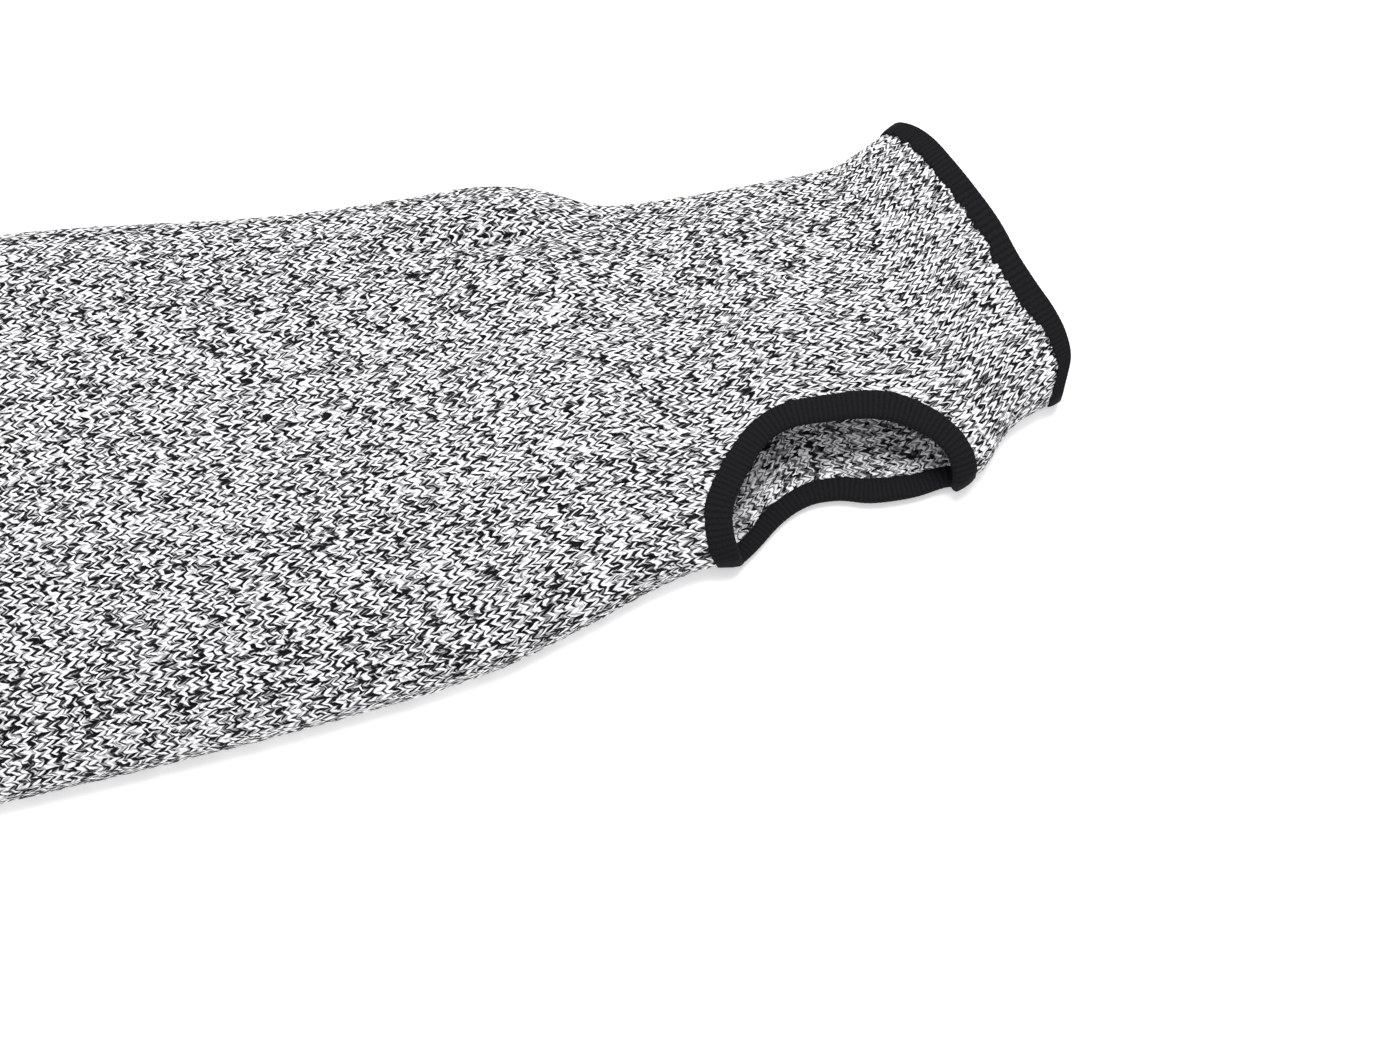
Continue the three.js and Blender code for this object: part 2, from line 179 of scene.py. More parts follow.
# Purl side: rows of loops, how far they wave, how their joints shift from row to
# row, their form, and the share of the yarn that is random for each loop
ROWS_A_COURSE = 1.7
LOOP_WAVE = 0.35
LOOPS_A_WALE = 1.9
LOOP_SHIFT = 0.37
LOOP_ROUNDNESS = 0.8
LOOP_YARN = 0.35

# Last number of each random draw, which keeps the draws apart
COLUMN_DRAW = 0.5
LEG_DRAW = 0.5
LEG_PLY_DRAW = 7.5
LEG_GAP_DRAW = 3.5
LOOP_DRAW = 3.5
LOOP_PLY_DRAW = 11.5
LOOP_GAP_DRAW = 5.5

# Yarn: its colours, and the places of these in the mix of white and black
WHITE_YARN = (0.92, 0.92, 0.94)
PALE_YARN = (0.66, 0.66, 0.68)
GREY_YARN = (0.22, 0.22, 0.235)
BLACK_YARN = (0.006, 0.006, 0.007)
JERSEY_TONES = ((0.22, BLACK_YARN), (0.33, GREY_YARN), (0.43, PALE_YARN), (0.57, WHITE_YARN))
PURL_TONES = ((0.28, BLACK_YARN), (0.42, GREY_YARN), (0.55, PALE_YARN), (0.75, WHITE_YARN))
KNIT_ROUGHNESS = 0.9
KNIT_SPECULAR = 0.12
KNIT_SHEEN = 0.02

# Relief of the stitches, the heights between which a gap darkens, and how dark:
# the shares of the colour left in the darkest gaps and in the palest. The
# darkening in the gaps is painted shade between the strands, and partly dark yarn
JERSEY_RELIEF = 0.3 * MM
JERSEY_DEPTH = (0.35, 0.85)
JERSEY_DARKEST = 0.02
PURL_RELIEF = 0.4 * MM
PURL_DEPTH = (0.2, 0.8)
PURL_DARKEST = 0.05
PALEST_GAP = 0.75
GAP_RANGE = (0.40, 0.95)

# Edging: its tones from groove to rib, darker in the grooves by painted shade and at random by its
# fuzz, its relief, and its ribs and fuzz
EDGING_TONES = ((0.25, (0.004, 0.004, 0.0045)), (0.95, (0.013, 0.013, 0.015)))
EDGING_ROUGHNESS = 0.85
EDGING_SPECULAR = 0.06
EDGING_RELIEF = 0.2 * MM
EDGING_BUMP = 0.35
RIB_SHARE = 0.35
FUZZ_SHARE = 0.8
FUZZ_SCALE = 2.5
FUZZ_DETAIL = 4.0

# Fine mesh: rows and columns, the block that gives way to rings round the slot
ARM_ROWS = 182
SLOT_ROWS = 54
HAND_ROWS = 6
COLUMNS = 180
SLOT_COLUMNS_OVER = 40
SLOT_COLUMNS_UNDER = 30
SLOT_RINGS_UNDER_EDGING = 4
SLOT_RINGS_BEYOND = 8
WALK_STEPS = 8
CLOTH_SEED = 7
UNEVENNESS = 0.10 * MM

# Edging's mesh: rib pitch, points for each rib, steps from its rim to its border
# and round its fold, and steps that measure a rim and the sleeve's girths
RIB = 1.3 * MM
POINTS_PER_RIB = 4
EDGING_STEPS = 6
FOLD_STEPS = 6
SLOT_RIM_STEPS = 720
LOOP_STEPS = 400
GIRTH_STEPS = 100

# Edging's form: its gap to the cloth and at the rim, how much a rib adds, how
# round and uneven the ribs are, and how much thinner it is at its border
EDGING_GAP = 0.6 * SEAM_GAP
RIM_GAP = 0.5 * SEAM_GAP
RIB_SWELL = 0.06
RIB_ROUNDNESS = 0.7
RIB_DIP = 0.05
RIB_UNEVENNESS = 0.06
BORDER_THINNING = 0.55

# Camera, as in the photograph
LOOK_AT = (122.5 * MM, -36 * MM, 0)
CAMERA_AZIMUTH = math.radians(-10.5)
CAMERA_ELEVATION = math.radians(70)
CAMERA_DISTANCE = 674 * MM
CAMERA_LENS = 65

# Floor and light: each lamp's name, power in watts, width and place
WHITE = (1, 1, 1, 1)
FLOOR_COLOUR = (0.9, 0.9, 0.9, 1)
FLOOR_SIZE = 6
FLOOR_DROP = 0.3 * MM
FLOOR_ROUGHNESS = 0.9
FLOOR_GLOW = 0.25
SURROUNDINGS_STRENGTH = 0.7
LAMPS = (
    ("key", 28, 1.0, (0.4, 0.6, 1.65)),
    ("fill", 5, 1.6, (-0.2, -1.2, 1.3)),
)
LAMP_TARGET = (0.05, 0, 0)

sleeve_low, sleeve_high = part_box("sleeve_body")
arm_low, arm_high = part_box("arm_binding")
ARM_END = np.array([sleeve_low[0], (arm_low[1] + arm_high[1]) / 2, 0])


def smooth_table(table, place):
    """Values at a place, on smooth curves through a table's rows."""
    at, values = table[:, 0], table[:, 1:]
    secant = np.diff(values, axis=0) / np.diff(at)[:, None]
    slope = np.vstack([secant[:1], (secant[1:] + secant[:-1]) / 2, secant[-1:]])
    place = np.clip(place, at[0], at[-1])
    i = np.clip(np.searchsorted(at, place, side="right") - 1, 0, len(at) - 2)
    step = at[i + 1] - at[i]
    t = ((place - at[i]) / step)[..., None]
    rise = (3 - 2 * t) * t ** 2
    curve = values[i] * (1 - rise) + values[i + 1] * rise
    curve += step[..., None] * t * (1 - t) * (slope[i] * (1 - t) - slope[i + 1] * t)
    return np.moveaxis(curve, -1, 0)


def section_at(along):
    """Half width to the far and to the near fold, and height of the crown."""
    return smooth_table(SECTIONS, np.asarray(along) / LENGTH)


def signed_power(value, exponent):
    return np.sign(value) * np.abs(value) ** exponent


def smooth_step(value, low, high):
    t = np.clip((value - low) / (high - low), 0, 1)
    return t * t * (3 - 2 * t)


def centre_line(along):
    """The centre line's point, heading and direction to the far side."""
    run = LENGTH - STRAIGHT_LENGTH
    share = np.maximum(0, (along - STRAIGHT_LENGTH) / run)
    angle = np.arctan(3 * HAND_OFFSET * share ** 2 / run)
    zero = np.zeros_like(angle)
    point = np.stack([along + zero, HAND_OFFSET * share ** 3, zero], -1)
    ahead = np.stack([np.cos(angle), np.sin(angle), zero], -1)
    sideways = np.stack([-np.sin(angle), np.cos(angle), zero], -1)
    return point, ahead, sideways


def wrinkle_height(point):
    """Sum of the soft ridges and dents at points of the upper layer."""
    total = np.zeros(point.shape[:-1])
    for at, across, heading, long, wide, high in WRINKLES:
        along = np.array(at * LENGTH)
        far, near = section_at(along)[:2]
        middle, _, sideways = centre_line(along)
        offset = point - middle - sideways * (far if across > 0 else near) * across
        turn = math.radians(heading)
        lengthwise = offset[..., 0] * math.cos(turn) + offset[..., 1] * math.sin(turn)
        crosswise = offset[..., 1] * math.cos(turn) - offset[..., 0] * math.sin(turn)
        total += high * np.exp(-(lengthwise / long) ** 2 - (crosswise / wide) ** 2)
    return total


def cloth_point(along, around):
    """Middle of the cloth's thickness, by the distance from the arm end and
    the angle round the tube: 0 at the near fold, over the top, 180 at the far."""
    along, around = (
        np.asarray(values, float) for values in np.broadcast_arrays(along, around)
    )
    far, near, crown = section_at(along)
    point, ahead, sideways = centre_line(along)
    side, rise = np.cos(around), np.sin(around)
    across = (far - near) / 2 - (far + near) / 2 * signed_power(side, SIDE_FULLNESS)
    setback = smooth_step(along, SLOT_MIDDLE, LENGTH) ** 2 * smooth_table(HAND_RIM, -side)[0]
    point = point + sideways * across[..., None] - ahead * setback[..., None]
    over = np.maximum(rise, 0)
    under = np.maximum(-rise, 0)
    top = FOLD_HEIGHT + (crown - FOLD_HEIGHT) * over ** TOP_FULLNESS
    top += wrinkle_height(point) * np.minimum(1, WRINKLE_GROWTH * over)
    slot_start = SLOT_MIDDLE - SLOT_LENGTH / 2 - EDGING_WIDTH
    lifted = 1 - smooth_step(along, EDGING_WIDTH, EDGING_WIDTH + LIFT_RUN)
    lifted += smooth_step(along, slot_start - LIFT_RUN, slot_start)
    ground = KNIT_THICKNESS / 2 + EDGING_LIFT * lifted
    curl = np.maximum(0, 1 - UNDERSIDE_PRESS * under ** UNDERSIDE_FULLNESS)
    point[..., 2] = np.where(rise >= 0, top, ground + (FOLD_HEIGHT - ground) * curl)
    return point


def cloth_slopes(along, around):
    """Directions along and round the cloth, and its outward normal."""
    stride = 0.5 * MM
    turn = 0.01
    after = np.minimum(along + stride, LENGTH)
    before = np.maximum(along - stride, 0)
    ahead = cloth_point(after, around) - cloth_point(before, around)
    ahead /= (after - before)[..., None]
    round_it = (cloth_point(along, around + turn) - cloth_point(along, around - turn)) / (2 * turn)
    normal = np.cross(ahead, round_it)
    return ahead, round_it, normal / np.linalg.norm(normal, axis=-1, keepdims=True)


def slot_rim(angle):
    """Rim of the thumb slot, by an angle that starts at its hand side tip: its
    place on the cloth and the width of the edging there."""
    place = np.asarray(angle, float) / (2 * math.pi) * len(SLOT_RIM)
    i = np.floor(place).astype(int)
    t = (place - i)[..., None]
    before, here, after, beyond = (SLOT_RIM[(i + k) % len(SLOT_RIM)] for k in (-1, 0, 1, 2))
    curve = here + t / 2 * (after - before)
    curve += t ** 2 * (before - 2.5 * here + 2 * after - beyond / 2)
    curve += t ** 3 * (3 * here - before - 3 * after + beyond) / 2
    return SLOT_MIDDLE + curve[..., 0], curve[..., 1], curve[..., 2]


def away_from_slot(angle, shares):
    """Places on the cloth away from the slot's rim, by rising shares of the
    edging's width."""
    along, around, width = slot_rim(angle)
    turn = 0.02
    rim_line = cloth_point(*slot_rim(angle + turn)[:2]) - cloth_point(*slot_rim(angle - turn)[:2])
    places = []
    walked = 0
    for share in shares:
        count = math.ceil((share - walked) * WALK_STEPS)
        for _ in range(count):
            ahead, round_it, normal = cloth_slopes(along, around)
            heading = np.cross(rim_line, normal)
            stride = (share - walked) / count * width / np.linalg.norm(heading, axis=-1)
            grid = np.stack([ahead, round_it, normal], -1)
            move = np.linalg.solve(grid, (heading * stride[..., None])[..., None])[..., 0]
            along = along + move[..., 0]
            around = around + move[..., 1]
        walked = share
        places.append((along, around))
    return places


def length_along(line):
    """Distance walked at each point of a line."""
    return np.concatenate([[0], np.cumsum(np.linalg.norm(np.diff(line, axis=0), axis=-1))])


def round_share():
    """Angles round the tube half way along it, the share of the girth that each
    lies from the top's middle line, and that girth."""
    angle = np.radians(np.arange(-90, 451, 1.0))
    length = length_along(cloth_point(LENGTH / 2, angle))
    near_fold, top, full_turn = np.interp(np.radians([0, 90, 360]), angle, length)
    girth = full_turn - near_fold
    return angle, (length - top) / girth, girth


SHARE_ANGLES, GIRTH_SHARES, MIDDLE_GIRTH = round_share()


def stitch_place(along, around):
    """Wales counted from the top's middle line, and courses from the arm end."""
    far, near = section_at(along)[:2]
    middle_far, middle_near = section_at(np.array(LENGTH / 2))[:2]
    girth = MIDDLE_GIRTH * (far + near) / (middle_far + middle_near)
    wale = WALE * ((far + near) / ARM_WIDTH) ** WALE_NARROWING
    share = np.interp(around, SHARE_ANGLES, GIRTH_SHARES)
    return np.stack([share * girth / wale, along / COURSE], -1)


def steps(start, stop, count):
    return np.linspace(start, stop, count + 1)


def new_group(name, inputs, outputs):
    """An empty shader node group with its sockets, and its in and out nodes."""
    group = bpy.data.node_groups.new(name, "ShaderNodeTree")
    for socket, kind, value in inputs:
        item = group.interface.new_socket(socket, in_out="INPUT", socket_type=kind)
        if value is not None:
            item.default_value = value
    for socket, kind in outputs:
        group.interface.new_socket(socket, in_out="OUTPUT", socket_type=kind)
    return group, group.nodes.new("NodeGroupInput"), group.nodes.new("NodeGroupOutput")


def feed(tree, socket, value):
    """Sets an input to a number, or links another node's output to it."""
    if isinstance(value, (int, float)):
        socket.default_value = value
    else:
        tree.links.new(value, socket)


def maths(tree, operation, *values):
    """A Math node with numbers or sockets as its inputs; gives its output."""
    node = tree.nodes.new("ShaderNodeMath")
    node.operation = operation
    for socket, value in zip(node.inputs, values):
        feed(tree, socket, value)
    return node.outputs[0]


def plus(tree, one, other):
    return maths(tree, "ADD", one, other)


def less(tree, one, other):
    return maths(tree, "SUBTRACT", one, other)


def times(tree, one, other):
    return maths(tree, "MULTIPLY", one, other)


def whole(tree, value):
    return maths(tree, "FLOOR", value)


def half_sine(tree, value):
    """Rises from 0 to 1 and falls again while a value goes from 0 to 1."""
    return maths(tree, "SINE", times(tree, value, math.pi))


def weighed(tree, one, weight, other, other_weight):
    """Sum of two values, each times its weight."""
    return plus(tree, times(tree, one, weight), times(tree, other, other_weight))


def combine(tree, *values):
    """A vector from three numbers or sockets."""
    node = tree.nodes.new("ShaderNodeCombineXYZ")
    for socket, value in zip(node.inputs, values):
        feed(tree, socket, value)
    return node.outputs[0]


def noise(tree, vector, scale, detail=2.0, dimensions="3D"):
    """A Noise Texture's value, from 0 to 1."""
    node = tree.nodes.new("ShaderNodeTexNoise")
    node.noise_dimensions = dimensions
    node.inputs["Scale"].default_value = scale
    node.inputs["Detail"].default_value = detail
    tree.links.new(vector, node.inputs["Vector"])
    return node.outputs["Fac"]


def chance(tree, *values):
    """A random number from 0 to 1 for each set of three whole numbers."""
    node = tree.nodes.new("ShaderNodeTexWhiteNoise")
    node.noise_dimensions = "3D"
    tree.links.new(combine(tree, *values), node.inputs["Vector"])
    return node.outputs["Value"]


def stretch(tree, value, low, high, to_low=0.0, to_high=1.0):
    """Maps a range to another one, clamped."""
    node = tree.nodes.new("ShaderNodeMapRange")
    limits = (("From Min", low), ("From Max", high), ("To Min", to_low), ("To Max", to_high))
    for name, limit in limits:
        feed(tree, node.inputs[name], limit)
    tree.links.new(value, node.inputs["Value"])
    return node.outputs["Result"]


def wandering(tree, vector):
    """Splits stitch coordinates into wales and courses that wander a little."""
    split = tree.nodes.new("ShaderNodeSeparateXYZ")
    tree.links.new(vector, split.inputs[0])
    wales, courses = split.outputs[0], split.outputs[1]
    for scale, sideways, lengthwise in WANDER:
        shift = less(tree, noise(tree, vector, scale), 0.5)
        wales = plus(tree, wales, times(tree, shift, sideways))
        courses = plus(tree, courses, times(tree, shift, lengthwise))
    return wales, courses


def stitch_group(name, setting, value):
    """An empty node group for stitches, with their coordinates and one setting
    going in. Height is the relief, Yarn the mix of white and black, Depth a mask
    that falls to 0 between strands, where shade is painted, and Gap a random
    number for each gap."""
    return new_group(
        name,
        [("Stitches", "NodeSocketVector", None), (setting, "NodeSocketFloat", value)],
        [(socket, "NodeSocketFloat") for socket in ("Height", "Yarn", "Depth", "Gap")],
    )


def give_out(group, end, *values):
    """Links values to a group's outputs, in their order."""
    for value, socket in zip(values, end.inputs):
        group.links.new(value, socket)


def jersey_group():
    """Face side of jersey: two slanting legs for each stitch, with yarn that is
    streaked along the legs and a little random for each leg and ply."""
    group, start, end = stitch_group("Jersey stitches", "Slant", LEG_SLANT)
    wales, courses = wandering(group, start.outputs["Stitches"])
    half = whole(group, times(group, wales, 2.0))
    out = times(group, maths(group, "PINGPONG", plus(group, wales, 0.5), 0.5), 2.0)
    column = chance(group, half, COLUMN_DRAW, COLUMN_DRAW)
    slanted = less(group, courses, times(group, out, start.outputs["Slant"]))
    slanted = plus(group, slanted, times(group, column, COLUMN_SHIFT))
    leg = whole(group, slanted)
    across = maths(group, "FRACT", slanted)
    swell = plus(group, LEG_END_HEIGHT, times(group, half_sine(group, out), 1 - LEG_END_HEIGHT))
    height = times(group, half_sine(group, across), swell)

    ply = whole(group, times(group, plus(group, across, times(group, out, PLY_SLANT)), PLIES))
    leg_tone = chance(group, half, leg, LEG_DRAW)
    ply_tone = chance(group, half, leg, plus(group, ply, LEG_PLY_DRAW))
    random = weighed(group, leg_tone, LEG_YARN, ply_tone, 1 - LEG_YARN)
    column_start = times(group, half, STREAK_COLUMNS_APART)
    lengthwise = plus(group, times(group, slanted, STREAKS_A_COURSE), column_start)
    streak_place = combine(group, lengthwise, times(group, out, STREAK_NARROWING), 0.0)
    streak = stretch(group, noise(group, streak_place, 1.0, 0.0, "2D"), *STREAK_RANGE)
    yarn = weighed(group, random, RANDOM_YARN, streak, 1 - RANDOM_YARN)

    # Gaps between the legs: Depth, from the relief, masks the painted shade there, and Gap draws
    # how dark each gap is
    gap = whole(group, plus(group, slanted, 0.5))
    half_leg = plus(group, whole(group, times(group, out, 2.0)), LEG_GAP_DRAW)
    depth = stretch(group, height, *JERSEY_DEPTH)
    give_out(group, end, height, yarn, depth, chance(group, half, gap, half_leg))
    return group


def purl_group():
    """Back side of jersey: rows of wavy loops that lie across the sleeve."""
    group, start, end = stitch_group("Purl stitches", "Wave", LOOP_WAVE)
    wales, courses = wandering(group, start.outputs["Stitches"])
    wave = maths(group, "COSINE", times(group, wales, 2 * math.pi))
    wave = times(group, wave, start.outputs["Wave"])
    waved = plus(group, times(group, courses, ROWS_A_COURSE), wave)
    row = whole(group, waved)
    across = maths(group, "FRACT", waved)
    height = maths(group, "POWER", half_sine(group, across), LOOP_ROUNDNESS)

    loop = whole(group, weighed(group, wales, LOOPS_A_WALE, row, LOOP_SHIFT))
    ply = whole(group, times(group, across, PLIES))
    loop_tone = chance(group, loop, row, LOOP_DRAW)
    ply_tone = chance(group, loop, row, plus(group, ply, LOOP_PLY_DRAW))
    yarn = weighed(group, loop_tone, LOOP_YARN, ply_tone, 1 - LOOP_YARN)

    # Gaps between the loops: Depth, from the relief, masks the painted shade there, and Gap draws
    # how dark each gap is
    gap = whole(group, plus(group, waved, 0.5))
    depth = stretch(group, height, *PURL_DEPTH)
    give_out(group, end, height, yarn, depth, chance(group, loop, gap, LOOP_GAP_DRAW))
    return group


def gap_shade_group():
    """Darkens a colour between the strands where Depth falls: painted shade there,
    and partly dark yarn. A random number for each gap sets how dark: some gaps
    down to the share Darkest of it, and others only a little."""
    group, start, end = new_group(
        "Dark yarn and painted shade in gaps",
        [
            ("Colour", "NodeSocketColor", None),
            ("Depth", "NodeSocketFloat", None),
            ("Gap", "NodeSocketFloat", None),
            ("Darkest", "NodeSocketFloat", None),
        ],
        [("Shaded", "NodeSocketColor")],
    )
    darkest = start.outputs["Darkest"]
    # Painted shade: the colour falls to the share least of it where Depth is 0
    least = stretch(group, start.outputs["Gap"], *GAP_RANGE, darkest, PALEST_GAP)
    lit = times(group, start.outputs["Depth"], less(group, 1.0, least))
    grey = plus(group, lit, least)
    mix = group.nodes.new("ShaderNodeMix")
    mix.data_type = "RGBA"
    mix.blend_type = "MULTIPLY"
    mix.inputs["Factor"].default_value = 1.0
    group.links.new(start.outputs["Colour"], mix.inputs["A"])
    group.links.new(combine(group, grey, grey, grey), mix.inputs["B"])
    give_out(group, end, mix.outputs["Result"])
    return group


def matt_shader(name, roughness, specular):
    """A matt material; gives it, its node tree, its Principled BSDF and its
    stitch coordinates."""
    material = bpy.data.materials.new(name)
    material.use_nodes = True
    tree = material.node_tree
    shader = tree.nodes["Principled BSDF"]
    shader.inputs["Roughness"].default_value = roughness
    shader.inputs["Specular IOR Level"].default_value = specular
    uv = tree.nodes.new("ShaderNodeUVMap")
    uv.uv_map = "Stitches"
    return material, tree, shader, uv.outputs["UV"]


def tone_ramp(tree, value, stops):
    """A colour ramp from pairs of a place and a colour."""
    node = tree.nodes.new("ShaderNodeValToRGB")
    elements = node.color_ramp.elements
    while len(elements) < len(stops):
        elements.new(0.5)
    for element, (place, colour) in zip(elements, stops):
        element.position = place
        element.color = (*colour, 1)
    tree.links.new(value, node.inputs["Fac"])
    return node.outputs["Color"]


def bump(tree, shader, height, distance, strength):
    node = tree.nodes.new("ShaderNodeBump")
    node.inputs["Distance"].default_value = distance
    node.inputs["Strength"].default_value = strength
    tree.links.new(height, node.inputs["Height"])
    tree.links.new(node.outputs["Normal"], shader.inputs["Normal"])


def place_group(tree, group, **values):
    """A node group in a material, with its inputs from numbers or sockets."""
    node = tree.nodes.new("ShaderNodeGroup")
    node.node_tree = group
    for name, value in values.items():
        feed(tree, node.inputs[name], value)
    return node.outputs


def marled_knit(name, stitches, gaps, darkest, tones, relief):
    """Grey marl: each strand takes its own mix of white and black yarn, darkened between the
    strands by painted shade and partly by dark yarn.
    """
    material, tree, shader, uv = matt_shader(name, KNIT_ROUGHNESS, KNIT_SPECULAR)
    knit = place_group(tree, stitches, Stitches=uv)
    colour = tone_ramp(tree, knit["Yarn"], tones)
    # Painted shade between the strands, and partly dark yarn, darken the colour
    shaded = place_group(
        tree, gaps, Colour=colour, Depth=knit["Depth"], Gap=knit["Gap"], Darkest=darkest
    )
    tree.links.new(shaded["Shaded"], shader.inputs["Base Color"])
    bump(tree, shader, knit["Height"], relief, 1.0)
    shader.inputs["Sheen Weight"].default_value = KNIT_SHEEN
    return material


def ribbed_edging(name):
    """Near-black edging: fine ribs across it and fuzz all over. Its colour is darker in the
    grooves between ribs, painted shade, and varies at random with the fuzz.
    """
    material, tree, shader, uv = matt_shader(name, EDGING_ROUGHNESS, EDGING_SPECULAR)
    split = tree.nodes.new("ShaderNodeSeparateXYZ")
    tree.links.new(uv, split.inputs[0])
    rib = maths(tree, "ABSOLUTE", half_sine(tree, split.outputs[0]))
    fuzz = noise(tree, uv, FUZZ_SCALE, FUZZ_DETAIL)
    height = weighed(tree, rib, RIB_SHARE, fuzz, FUZZ_SHARE)
    # The relief picks the colour: painted shade in the grooves, random tone from the fuzz
    tree.links.new(tone_ramp(tree, height, EDGING_TONES), shader.inputs["Base Color"])
    bump(tree, shader, height, EDGING_RELIEF, EDGING_BUMP)
    return material


def add_mesh(name, points, faces, places, materials):
    """A mesh from points and faces, with stitch coordinates for each face corner."""
    mesh = bpy.data.meshes.new(name)
    mesh.from_pydata(points.tolist(), [], [tuple(int(i) for i in face) for face in faces])
    layer = mesh.uv_layers.new(name="Stitches")
    layer.data.foreach_set("uv", np.asarray(places, float).ravel())
    for material in materials:
        mesh.materials.append(material)
    mesh.polygons.foreach_set("use_smooth", [True] * len(mesh.polygons))
    piece = bpy.data.objects.new(name, mesh)
    bpy.context.collection.objects.link(piece)
    return piece


def numbered(shape):
    """Counts up from 0, in an array of that shape."""
    return np.arange(math.prod(shape)).reshape(shape)


def grid_faces(rows, closed):
    """Quads over an array of point numbers, its last column joined to its first
    if closed."""
    after = np.roll(rows, -1, axis=1) if closed else rows[:, 1:]
    rows = rows if closed else rows[:, :-1]
    return np.stack([rows[:-1], after[:-1], after[1:], rows[1:]], -1).reshape(-1, 4)


def block_outline(first, last):
    """Row and column of each point round the block that the slot's rings join."""
    low, high = -SLOT_COLUMNS_UNDER, SLOT_COLUMNS_OVER
    outline = [(row, low) for row in range(first, last)]
    outline += [(last, column) for column in range(low, high)]
    outline += [(row, high) for row in range(last, first, -1)]
    outline += [(first, column) for column in range(high, low, -1)]
    return np.array(outline)


def slot_rings(edge_along, edge_around):
    """Places of the rings round the slot: from its rim to the edging's border,
    and on towards the outline of the block."""
    reach_round = np.where(edge_around > 0, edge_around.max(), -edge_around.min())
    angles = np.arctan2(edge_around / reach_round, (edge_along - SLOT_MIDDLE) / SLOT_REACH)
    rings = away_from_slot(angles, steps(0, 1, SLOT_RINGS_UNDER_EDGING))
    last_along, last_around = rings[-1]
    for share in steps(0, 1, SLOT_RINGS_BEYOND)[1:-1]:
        ring_along = last_along + (edge_along - last_along) * share
        ring_around = last_around + (edge_around - last_around) * share
        rings.append((ring_along, ring_around))
    return np.moveaxis(np.array(rings), 1, 0)


def sleeve_sheet():
    """The knitted tube as one layer of quads with a hole for the thumb slot."""
    hand_side, arm_side = SLOT_MIDDLE + SLOT_REACH, SLOT_MIDDLE - SLOT_REACH
    hand = steps(LENGTH, hand_side, HAND_ROWS)
    beside = steps(hand_side, arm_side, SLOT_ROWS)
    arm = steps(arm_side, 0, ARM_ROWS)
    rows = np.concatenate([hand, beside[1:], arm[1:]])
    angle = steps(0, 2 * math.pi, COLUMNS)[:-1]
    along, around = np.meshgrid(rows, angle, indexing="ij")
    number = numbered(along.shape)

    first, last = HAND_ROWS, HAND_ROWS + SLOT_ROWS
    outline = block_outline(first, last)
    edge_number = number[outline[:, 0], outline[:, 1] % COLUMNS]
    edge_around = outline[:, 1] * 2 * math.pi / COLUMNS
    ring_along, ring_around = slot_rings(rows[outline[:, 0]], edge_around)
    ring_number = number.size + numbered(ring_along.shape)
    past_block = slice(SLOT_COLUMNS_OVER, COLUMNS - SLOT_COLUMNS_UNDER + 1)
    faces = np.vstack([
        grid_faces(number[:first + 1], True),
        grid_faces(number[last:], True),
        grid_faces(number[first:last + 1, past_block], False),
        grid_faces(np.vstack([ring_number, edge_number]), True),
    ])

    column = np.arange(COLUMNS)
    in_block = (column < SLOT_COLUMNS_OVER) | (column > COLUMNS - SLOT_COLUMNS_UNDER)
    used = np.ones(number.shape, bool)
    used[first + 1:last, in_block] = False
    keep = np.concatenate([used.ravel(), np.ones(ring_along.size, bool)])
    all_along = np.concatenate([along.ravel(), ring_along.ravel()])
    all_around = np.concatenate([around.ravel(), ring_around.ravel()])
    new_number = np.cumsum(keep) - 1
    return all_along[keep], all_around[keep], new_number[faces]


def unwrapped(turn):
    """Angles round the tube at the corners of each face, without a jump in any
    face; the seam is at the middle of the underside."""
    wraps = np.ptp(turn, axis=1) > math.pi
    turn = np.where(wraps[:, None] & (turn < math.pi / 2), turn + 2 * math.pi, turn)
    past_seam = turn.max(axis=1) > math.radians(270)
    return np.where(past_seam[:, None], turn - 2 * math.pi, turn)


def knitted_body(materials):
    """The cloth: a fine uneven sheet that Solidify thickens, purl side in."""
    along, around, faces = sleeve_sheet()
    normal = cloth_slopes(along, around)[2]
    rng = np.random.default_rng(CLOTH_SEED)
    uneven = rng.normal(0, UNEVENNESS, len(along))
    points = cloth_point(along, around) + normal * uneven[:, None] + ARM_END
    places = stitch_place(along[faces], unwrapped(around[faces]))
    body = add_mesh("sleeve_knit", points, faces, places, materials)
    wall = body.modifiers.new("Wall", "SOLIDIFY")
    wall.thickness = KNIT_THICKNESS
    wall.offset = 0
    wall.material_offset = 1
    wall.material_offset_rim = 1
    apply_modifiers(body)
    return body


def apply_modifiers(piece):
    bpy.ops.object.select_all(action="DESELECT")
    bpy.context.view_layer.objects.active = piece
    piece.select_set(True)
    for modifier in list(piece.modifiers):
        bpy.ops.object.modifier_apply(modifier=modifier.name)
    piece.select_set(False)


def folded_profile(point, normal, ridge):
    """Lines of points all round the edging's section. They run on its outside
    from the upper border over the rim to the lower one, and back inside it."""
    outward = point[0] - point[1]
    outward -= (outward * normal[0]).sum(-1, keepdims=True) * normal[0]
    outward /= np.linalg.norm(outward, axis=-1, keepdims=True)
    inner = KNIT_THICKNESS / 2 + EDGING_GAP
    swell = EDGING_THICKNESS * (1 - RIB_SWELL + RIB_SWELL * ridge)[:, None]
    shares = steps(0, 1, EDGING_STEPS)
    outer = [inner + swell * (1 - BORDER_THINNING * share ** 4) for share in shares]
    to_rim = range(EDGING_STEPS, 0, -1)
    to_border = range(1, EDGING_STEPS + 1)
    profile = [point[k] + normal[k] * outer[k] for k in to_rim]
    for turn in np.radians(steps(90, -90, FOLD_STEPS)):
        up = normal[0] * (inner + swell) * math.sin(turn)
        profile.append(point[0] + up + outward * (SEAM_GAP + swell) * math.cos(turn))
    profile += [point[k] - normal[k] * outer[k] for k in to_border]
    profile += [point[k] - normal[k] * inner for k in to_rim]
    profile += [point[0] + normal[0] * inner * side + outward * RIM_GAP for side in (-1, 1)]
    profile += [point[k] + normal[k] * inner for k in to_border]
    return np.array(profile)


